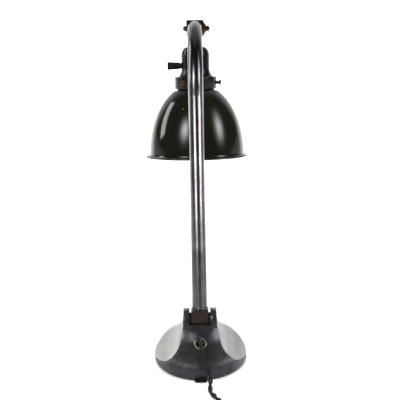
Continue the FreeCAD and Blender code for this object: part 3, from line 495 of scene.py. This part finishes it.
def bumped(tree, height, strength, depth):
    """A surface that only seems to rise with the height, by up to depth in metres."""
    return add(tree, "ShaderNodeBump", {"Height": height, "Strength": strength,
                                        "Distance": depth}).outputs["Normal"]


def finish_piece(piece, body, material, slot, *replaced):
    """Gives a new piece its material, and says what it rides on and what it replaces. The slot is not used."""
    piece.data.materials.clear()
    piece.data.materials.append(material)
    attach(piece, body)
    if replaced:
        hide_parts(*replaced)
    return piece


cotton, tree, shader = new_material("braided_cotton")
uv = add(tree, "ShaderNodeUVMap", uv_map="along")
split = add(tree, "ShaderNodeSeparateXYZ", {0: uv.outputs["UV"]}).outputs
ribs_round = calc(tree, "MULTIPLY", split["X"], RIBS_ROUND)
ribs_along = calc(tree, "MULTIPLY", split["Y"], 1 / (RIBS_ROUND * RIB_WIDTH))
ribs = []
for operation in ("ADD", "SUBTRACT"):
    phase = calc(tree, operation, ribs_along, ribs_round)
    ribs.append(calc(tree, "SINE", calc(tree, "MULTIPLY", phase, 2 * math.pi)))
plait = calc(tree, "MULTIPLY_ADD", calc(tree, "MULTIPLY", *ribs), 0.5, 0.5)
feed(tree, shader, {"Base Color": ramp(tree, plait, (0.0, colour("#080809")), (1.0, colour("#1c1c1e"))),
                    "Roughness": 0.85, "Sheen Weight": 0.12, "Normal": bumped(tree, plait, 0.6, 0.3 * MM)})
finish_piece(cord, "base", cotton, "cord_cloth", "cord_lead", "cord_coil")
print("cord dressed in", cotton.name)

# %% [markdown]
# Real metal is never one colour. The recipes below share one worn metal: two tones mixed by soft
# noise, fine grain in the polish, and a shallow bump. Moulded plastic and porcelain age in the same
# way, so they are that recipe without the metal. Noise mostly lies between 0.3 and 0.7, so that
# part of it is what gets spread over the wanted range.

# %% Recipes for metal
NOISE_LOW, NOISE_HIGH = 0.3, 0.7


def noise(tree, size, detail=3.0, roughness=0.5, vector=None):
    """Soft noise with spots of about a real size, in metres."""
    where = vector or add(tree, "ShaderNodeTexCoord").outputs["Object"]
    return add(tree, "ShaderNodeTexNoise", {"Vector": where, "Scale": 1 / size, "Detail": detail,
                                            "Roughness": roughness}).outputs["Fac"]


def spread(tree, factor, low, high):
    return fade(tree, factor, NOISE_LOW, NOISE_HIGH, low, high)


def tones(tree, factor, dark, light):
    return ramp(tree, factor, (NOISE_LOW, colour(dark)), (NOISE_HIGH, colour(light)))


def worn_metal(name, dark, light, smooth, rough, patch=12 * MM, grain=0.4 * MM, metallic=1.0, bump=0.15):
    """Two tones and two roughnesses, in patches and with a grain of real sizes."""
    material, tree, shader = new_material(name)
    wear = noise(tree, patch * 0.4, 5.0, 0.65)
    feed(tree, shader, {"Base Color": tones(tree, noise(tree, patch, 4.0, 0.6), dark, light),
                        "Metallic": metallic, "Roughness": spread(tree, wear, smooth, rough),
                        "Normal": bumped(tree, noise(tree, grain, 2.0), bump, 0.1 * MM)})
    return material


def glossy_plastic(name, dark, light, smooth, rough, patch=6 * MM, grain=0.6 * MM, bump=0.1):
    return worn_metal(name, dark, light, smooth, rough, patch, grain, 0.0, bump)


gunmetal = worn_metal("gunmetal", "#3f4046", "#4b4c53", 0.25, 0.29, 30 * MM, bump=0.04)
print("nodes in", gunmetal.name, len(gunmetal.node_tree.nodes))

# %% [markdown]
# The casting has two finishes. Its bell keeps a grey patina, which is duller at the foot, and is
# painted lighter and browner there: a painted reflection of the table, with a rusty tint. Both
# scoops of the saddle are ground bright, and the rim's sides are painted as bright, a painted
# reflection. The scoops could be picked face by face, but a shader finds them more exactly: a scoop
# runs straight from back to front, so its normal has no Y part. The low wall of the rim and the
# level places between the ears do the same, and are taken out by their height and by their normal.

# %% Where the casting is ground, and where its sides are painted lighter
STRAIGHT = (0.06, 0.12)
SLOPING, LEVEL_TOP = (0.3, 0.4), (0.985, 0.995)
LOW_WALL, EAR_SIDE, LIT_SIDE = (17.5 * MM, 18.5 * MM), (18 * MM, 19 * MM), (42 * MM, 66 * MM)
SIDE_SHEEN = 0.85
cast_iron, tree, shader = new_material("cast_iron")
place = add(tree, "ShaderNodeTexCoord").outputs["Object"]
where = add(tree, "ShaderNodeSeparateXYZ", {0: place}).outputs
normal = add(tree, "ShaderNodeNewGeometry").outputs["True Normal"]
facing = add(tree, "ShaderNodeSeparateXYZ", {0: normal}).outputs
sideways = calc(tree, "ABSOLUTE", where["X"])
straight = fade(tree, calc(tree, "ABSOLUTE", facing["Y"]), *STRAIGHT, 1.0, 0.0)
above = calc(tree, "MAXIMUM", fade(tree, where["Z"], *LOW_WALL), fade(tree, facing["Z"], *SLOPING))
curved = calc(tree, "MAXIMUM", fade(tree, facing["Z"], *LEVEL_TOP, 1.0, 0.0),
              fade(tree, sideways, *EAR_SIDE))
ground_and_lit_sides = calc(tree, "MULTIPLY", calc(tree, "MULTIPLY", straight, above), curved)
# The rim's sides take the bright ground finish as well, which is a painted reflection.
ground_and_lit_sides = calc(tree, "MAXIMUM", ground_and_lit_sides, fade(tree, sideways, *LIT_SIDE, 0.0, SIDE_SHEEN))
print("scoops start above", LOW_WALL[1], "m")

# %% [markdown]
# With the scoops found, each finish is a few lines: its tones, its polish and its relief, and the
# mask blends one into the other. The wheel's streaks are noise that is stretched along the scoop.

# %% Casting finish
WHEEL_STRETCH = (1.0, 0.06, 1.0)
LIT_FOOT_BAND, DULL_FOOT = (6.5 * MM, 2 * MM), (32 * MM, 20 * MM)
wheel = add(tree, "ShaderNodeMapping", {"Vector": place, "Scale": WHEEL_STRETCH})
brushed = noise(tree, 1.1 * MM, 3.0, 0.6, wheel.outputs["Vector"])
ground = tones(tree, noise(tree, 20 * MM, 4.0, 0.55), "#959696", "#adaeac")
patina_and_lit_foot = ramp(tree, noise(tree, 9 * MM, 5.0, 0.62), (0.3, colour("#4a494c")), (0.55, colour("#5b5a5d")),
              (0.72, colour("#6b655f")))
# Towards the foot the patina turns lighter and browner: a painted reflection of the table, with a rusty tint.
patina_and_lit_foot = blend(tree, fade(tree, where["Z"], *LIT_FOOT_BAND, 0.0, 0.6), patina_and_lit_foot, colour("#7d6a62"))
skin_polish = calc(tree, "ADD", spread(tree, noise(tree, 5 * MM, 5.0, 0.6), 0.3, 0.4),
                   fade(tree, where["Z"], *DULL_FOOT, 0.0, 0.14))
relief = blend_value(tree, ground_and_lit_sides, noise(tree, 1.2 * MM, 4.0), brushed)
feed(tree, shader, {"Base Color": blend(tree, ground_and_lit_sides, patina_and_lit_foot, ground), "Metallic": 0.9,
                    "Roughness": blend_value(tree, ground_and_lit_sides, skin_polish, spread(tree, brushed, 0.34, 0.46)),
                    "Normal": bumped(tree, relief, 0.16, 0.25 * MM)})
print("casting nodes", len(tree.nodes))

# %% [markdown]
# The tube is burnished steel that has browned with age. Its polishing marks run along it, so the
# pattern is stretched along the arm, which leans by 15 degrees. Clouds of tone are mixed in,
# because streaks alone would look freshly brushed.

# %% Tube finish
LEAN = 15.0
TUBE_STRETCH = (1.0, 1.0, 0.04)
UPRIGHT = (math.radians(LEAN), 0.0, 0.0)
tube_finish, tree, shader = new_material("burnished_steel")
place = add(tree, "ShaderNodeTexCoord").outputs["Object"]
upright = add(tree, "ShaderNodeMapping", {"Vector": place, "Rotation": UPRIGHT}).outputs["Vector"]
stretched = add(tree, "ShaderNodeMapping", {"Vector": upright, "Scale": TUBE_STRETCH}).outputs["Vector"]
streaks = noise(tree, 1.6 * MM, 4.0, 0.6, stretched)
mixed = calc(tree, "MULTIPLY", calc(tree, "ADD", streaks, noise(tree, 30 * MM, 4.0, 0.6)), 0.5)
steel = ramp(tree, mixed, (0.36, colour("#6b6568")), (0.5, colour("#868285")), (0.64, colour("#a3a1a2")))
feed(tree, shader, {"Base Color": steel, "Metallic": 1.0, "Roughness": spread(tree, streaks, 0.2, 0.25)})
print("tube leans by", LEAN, "degrees")

# %% [markdown]
# The pad under the base is green felt: dark, without shine, and with a sheen for its fibres. The
# bulb is of frosted glass, which lets light through but blurs it.

# %% Felt and glass
felt, tree, shader = new_material("felt")
fibres = noise(tree, 0.7 * MM, 4.0, 0.7)
feed(tree, shader, {"Base Color": tones(tree, fibres, "#0e1410", "#27332a"), "Roughness": 0.95,
                    "Sheen Weight": 0.4, "Normal": bumped(tree, fibres, 0.8, 0.4 * MM)})
glass, tree, shader = new_material("bulb_glass")
feed(tree, shader, {"Base Color": colour("#fbfbf8"), "Transmission Weight": 0.9, "IOR": 1.5,
                    "Roughness": spread(tree, noise(tree, 4 * MM), 0.22, 0.3)})
print("soft finishes", felt.name, glass.name)

# %% [markdown]
# Every material slot of the record gets its finish, and each part of the frame takes its own by
# the name of its slot. Three pieces of the lamp have worn in another way than the rest of their
# slot, and take another finish.

# %% Finishes by slot
by_slot = {
    "cast_iron": cast_iron,
    "burnished_steel": tube_finish,
    "felt": felt,
    "bulb_glass": glass,
    "gunmetal": gunmetal,
    "cord_cloth": cotton,
    "plate_steel": worn_metal("plate_steel", "#151515", "#232221", 0.4, 0.55, metallic=0.3),
    "screw_steel": worn_metal("screw_steel", "#5b5a58", "#84827e", 0.28, 0.42, 3 * MM),
    "nickel": worn_metal("nickel", "#b3aba2", "#d6cfc6", 0.24, 0.34, 3 * MM),
    "bronze_patina": worn_metal("bronze_patina", "#39322b", "#6a5e50", 0.3, 0.46, 4 * MM),
    "brass": worn_metal("brass", "#6a5138", "#b3946a", 0.24, 0.38, 2 * MM),
    "filament": worn_metal("filament", "#7d7d7d", "#a5a5a5", 0.3, 0.5, 2 * MM),
    "fibre": glossy_plastic("fibre", "#101010", "#1c1a19", 0.6, 0.75),
    "bakelite": glossy_plastic("bakelite", "#0f0e0e", "#1e1c1b", 0.2, 0.34),
    "inner_flex": glossy_plastic("inner_flex", "#0c0c0c", "#191919", 0.5, 0.65),
    "porcelain": glossy_plastic("porcelain", "#ddd8cc", "#efebe2", 0.3, 0.42, 10 * MM),
    "shade_enamel": glossy_plastic("inner_enamel", "#d9d7cc", "#e6e4da", 0.16, 0.24, 30 * MM),
    "tie_strap": glossy_plastic("tie_strap", "#1a1410", "#2c221b", 0.5, 0.7, 4 * MM, 0.5 * MM, 0.5),
}
own_finish = {
    "stem_knuckle": worn_metal("knuckle_patina", "#453d3a", "#63574f", 0.3, 0.4, 10 * MM),
    "cap_ring": by_slot["bronze_patina"],
    "shade_gallery": worn_metal("gallery_steel", "#444446", "#5c5b5a", 0.28, 0.36, 12 * MM, bump=0.08),
}
slot_of = {row["node"]: row["material_slot"] for row in frame["record"]["subparts"]}
for name, piece in nodes.items():
    piece.data.materials.clear()
    piece.data.materials.append(own_finish.get(name, by_slot[slot_of[name]]))
print("finishes", len(by_slot) + len(own_finish) - 1)

# %% [markdown]
# No cast or turned edge is perfectly sharp: each catches a thin line of light. A bevel modifier
# gives the edges that show such a line, after a weld has joined the loose triangles of the frame.

# %% Softened edges
WELD_REACH = 0.01 * MM
SOFT_WIDTHS = (("base_casting", 0.8), ("stem_knuckle", 0.9), ("arm_fork", 0.6),
               ("cone_washer", 0.4), ("shade_gallery", 0.4), ("wing_nut", 0.4))
SHARPER_THAN = 32


def soften_edges(piece, width):
    weld = piece.modifiers.new("weld", "WELD")
    weld.merge_threshold = WELD_REACH
    bevel = piece.modifiers.new("bevel", "BEVEL")
    bevel.width = width
    bevel.segments = 2
    bevel.limit_method = "ANGLE"
    bevel.angle_limit = math.radians(SHARPER_THAN)
    bevel.harden_normals = True


for name, width in SOFT_WIDTHS:
    soften_edges(nodes[name], width * MM)
print("softened pieces", len(SOFT_WIDTHS))

# %% [markdown]
# The real shade was spun from sheet and its screws were turned, both on a lathe. Blender's spin
# does the same: an outline of radii and heights, in millimetres, goes round the upright axis in
# even steps. Doubles are merged after it, which closes the seam and the poles, and then the
# normals are made to point outwards. A screw modifier would do too, and is the better choice
# where the outline is still being changed.

# %% A lathe
MERGE_REACH = 0.01 * MM
SMOOTH_ANGLE = 38


def turned(name, outline, steps, closed=False):
    """A piece made from an outline that goes once round the upright axis."""
    mesh = bpy.data.meshes.new(name)
    edges = [(k, k + 1) for k in range(len(outline) - 1)]
    if closed:
        edges.append((len(outline) - 1, 0))
    mesh.from_pydata([(radius * MM, 0.0, height * MM) for radius, height in outline], edges, [])
    piece = bpy.data.objects.new(name, mesh)
    bpy.context.scene.collection.objects.link(piece)
    deselect()
    piece.select_set(True)
    bpy.context.view_layer.objects.active = piece
    bpy.ops.object.mode_set(mode="EDIT")
    bpy.ops.mesh.select_all(action="SELECT")
    bpy.ops.mesh.spin(steps=steps, angle=2 * math.pi, center=(0, 0, 0), axis=(0, 0, 1))
    bpy.ops.mesh.select_all(action="SELECT")
    bpy.ops.mesh.remove_doubles(threshold=MERGE_REACH)
    bpy.ops.mesh.normals_make_consistent(inside=False)
    bpy.ops.object.mode_set(mode="OBJECT")
    bpy.ops.object.shade_smooth_by_angle(angle=math.radians(SMOOTH_ANGLE))
    print(name, "has", len(mesh.polygons), "faces")
    return piece


# %% [markdown]
# The shade is one spun sheet: a neck with a bead, a shoulder, half an ellipse and a flared lip that
# is rolled round a wire. Its outline goes down the outside, round the roll and up the inside. It
# is drawn from the swivel joint, where the head's own axes start, and these lean with the arm.

# %% Shade
WALL = 0.8
LEVEL, HEIGHT, RADIUS = 186.0, 105.4, 71.5
SHOULDER, SHOULDER_STEP = 33.0, 1.0
LIP_RADIUS, LIP_LEVEL, LIP_BEAD, BEAD_OPEN = 76.2, 190.8, 1.5, 150
NECK, NECK_TOP, NECK_FOOT = 28.2, 76.8, 85.0
BEAD, BEAD_BEVEL, BEAD_ROUND, BEAD_DEPTH = 1.0, 0.3, 0.4, 2.0
NECK_FILLET = ((0.0, 1.4), (0.5, 0.5), (1.6, 0.0))
FLARE_OUT = [(71.6, -187.4), (72.2, -188.7), (73.3, -189.6), (74.6, -189.9)]
FLARE_IN = [(74.4, -191.4), (72.8, -190.7), (71.6, -189.5), (70.9, -187.8)]
SHADE_STEPS, WALL_STEPS, ROLL_STEPS = 160, 36, 14
joints = {row["name"]: row for row in frame["joints"]}
JOINT = Vector(joints["shade_tilt"]["pos_m"])
ARM_TURN = Matrix.Rotation(math.radians(-LEAN), 4, "X")
HEAD = Matrix.Translation(JOINT) @ ARM_TURN


def wall_points(inset):
    """The ellipse of the wall from the shoulder down, set in by the sheet's thickness."""
    radius, height = RADIUS - inset, HEIGHT - inset
    start = math.acos((SHOULDER - inset) / radius)
    turns = [start * (1 - k / WALL_STEPS) for k in range(WALL_STEPS + 1)]
    return [(radius * math.cos(t), -LEVEL + height * math.sin(t)) for t in turns]


def arc(centre, radius, start, stop, count):
    turns = [math.radians(start + (stop - start) * k / count) for k in range(count + 1)]
    return [(centre[0] + radius * math.cos(t), centre[1] + radius * math.sin(t)) for t in turns]


outside, inside = wall_points(0.0), wall_points(WALL)
top_out, top_in = outside[0][1], inside[0][1]
neck_out = [(NECK + BEAD - BEAD_BEVEL, -NECK_TOP), (NECK + BEAD, -NECK_TOP - BEAD_ROUND),
            (NECK + BEAD, -NECK_TOP - BEAD_DEPTH + BEAD_ROUND), (NECK, -NECK_TOP - BEAD_DEPTH),
            (NECK, -NECK_FOOT)] + [(NECK + out, top_out + up) for out, up in NECK_FILLET]
roll = arc((LIP_RADIUS, -LIP_LEVEL), LIP_BEAD, BEAD_OPEN, -BEAD_OPEN, ROLL_STEPS)
neck_in = [(inside[0][0] - SHOULDER_STEP, top_in), (NECK - WALL, top_in), (NECK - WALL, -NECK_TOP)]
outline = neck_out + outside + FLARE_OUT + roll + FLARE_IN + inside[::-1] + neck_in
shade = turned("enamel_shade", outline, SHADE_STEPS, closed=True)
shade.data.transform(HEAD)

# %% [markdown]
# The outer enamel is glossy with a very faint orange peel. It has chipped down to rusty steel in a
# few small places along the lip, most of all at the left, and there is one pinprick on the wall.
# The chips are a mask: noise, but only in a band along the lip. The band and the pinprick are
# found in the head's own axes, which start at the swivel joint and lean with the arm.

# %% Where the enamel is chipped
LIP_BAND, LEFT_PART = (-188.5 * MM, -190.3 * MM), (-12 * MM, -30 * MM)
CHIP_SIZE, CHIP_EDGE = 6.5 * MM, (0.52, 0.55)
PIN_PLACE, PIN_EDGE = (-18.9 * MM, -51.4 * MM, -118.2 * MM), (1.2 * MM, 0.6 * MM)
olive, tree, shader = new_material("olive_enamel")
place = add(tree, "ShaderNodeTexCoord").outputs["Object"]
from_joint = add(tree, "ShaderNodeVectorMath", {0: place, 1: tuple(-JOINT)}, operation="ADD")
head_axes = add(tree, "ShaderNodeMapping", {"Vector": from_joint.outputs["Vector"], "Rotation": UPRIGHT})
head_place = add(tree, "ShaderNodeSeparateXYZ", {0: head_axes.outputs["Vector"]}).outputs
lip_zone = fade(tree, head_place["Z"], *LIP_BAND)
chips = fade(tree, noise(tree, CHIP_SIZE, 4.0, 0.7), *CHIP_EDGE)
left_more = fade(tree, head_place["X"], *LEFT_PART)
chip = calc(tree, "MULTIPLY", calc(tree, "MULTIPLY", lip_zone, chips), left_more)
pin = add(tree, "ShaderNodeVectorMath", {0: head_axes.outputs["Vector"], 1: PIN_PLACE},
          operation="DISTANCE")
chip = calc(tree, "MAXIMUM", chip, fade(tree, pin.outputs["Value"], *PIN_EDGE))
print("chips of about", CHIP_SIZE, "m")

# %% [markdown]
# The coat itself is almost black, with a little green in it, and the rust under it is rough. Only
# the outside is olive: the inside is ivory, to throw more light. The inner faces are found by
# their normals, which point down or level and towards the axis. On the roll that holds from its
# lowest point inwards.

# %% Enamel
RUST_ROUGHNESS = 0.75
LOOKS_OUT, LOOKS_UP = 0.1, 0.2
coat = tones(tree, noise(tree, 25 * MM, 3.0), "#12130e", "#181912")
rust = ramp(tree, noise(tree, 1.2 * MM, 3.0), (0.35, colour("#3c261a")), (0.65, colour("#80593c")))
gloss = spread(tree, noise(tree, 10 * MM), 0.09, 0.12)
feed(tree, shader, {"Base Color": blend(tree, chip, coat, rust), "Specular IOR Level": 0.85,
                    "Roughness": blend_value(tree, chip, gloss, RUST_ROUGHNESS),
                    "Normal": bumped(tree, noise(tree, 3 * MM, 2.0), 0.012, 0.3 * MM)})
finish_piece(shade, "head", olive, "shade_enamel", "shade")
shade.data.materials.append(by_slot["shade_enamel"])
to_head, unturn = HEAD.inverted(), ARM_TURN.inverted()
for face in shade.data.polygons:
    outward = (to_head @ face.center).xy.normalized()
    looks = unturn @ face.normal
    face.material_index = int(looks.xy.dot(outward) < LOOKS_OUT and looks.z < LOOKS_UP)
print("ivory faces", sum(face.material_index for face in shade.data.polygons))

# %% [markdown]
# Three thumbscrews hold the shade's neck in its collar. Each is a turned brass spool: a shank, a
# small flange, a waist and a head with flutes for the fingers. One is turned and fluted, and each
# of the three is a copy with its own mesh, set on the body of its own screw.

# %% Thumbscrews
SCREW_DEPTH, SCREW_ANGLE, SCREW_COUNT = 80.8, 238.4, 3
COLLAR, NECK_GAP, SHANK = 31.5, 28.5, 1.9
SPOOL = ((SHANK, 0.6), (2.7, 0.7), (3.1, 1.0), (3.1, 1.6), (2.6, 1.9), (2.0, 2.5), (2.0, 3.2), (2.8, 3.6),
         (3.5, 3.9), (3.8, 4.2), (3.8, 6.3), (3.5, 6.6), (2.6, 6.8), (0.0, 6.8))
SPOOL_STEPS, FLUTES, FLUTE_DEPTH, FLUTED_FROM = 96, 24, 0.45 * MM, 3.7 * MM
outline = [(0.0, NECK_GAP), (SHANK, NECK_GAP)] + [(radius, COLLAR + out) for radius, out in SPOOL]
pattern = turned("thumbscrew", outline, SPOOL_STEPS)
for vertex in pattern.data.vertices:
    if vertex.co.xy.length > FLUTED_FROM:
        angle = math.atan2(vertex.co.y, vertex.co.x)
        cut = FLUTE_DEPTH * (0.5 + 0.5 * math.cos(FLUTES * angle))
        vertex.co.xy *= 1 - cut / vertex.co.xy.length
for index in range(SCREW_COUNT):
    turn = Matrix.Rotation(math.radians(SCREW_ANGLE + 360 * index / SCREW_COUNT), 4, "Z")
    outward = Matrix.Rotation(math.radians(90), 4, "Y")
    screw = bpy.data.objects.new(f"thumbscrew_{index + 1}", pattern.data.copy())
    screw.data.transform(HEAD @ Matrix.Translation((0, 0, -SCREW_DEPTH * MM)) @ turn @ outward)
    bpy.context.scene.collection.objects.link(screw)
    finish_piece(screw, f"screw_{index + 1}", by_slot["brass"], "brass", f"gallery_screw_{index + 1}")
bpy.data.objects.remove(pattern)
print("thumbscrews", SCREW_COUNT)
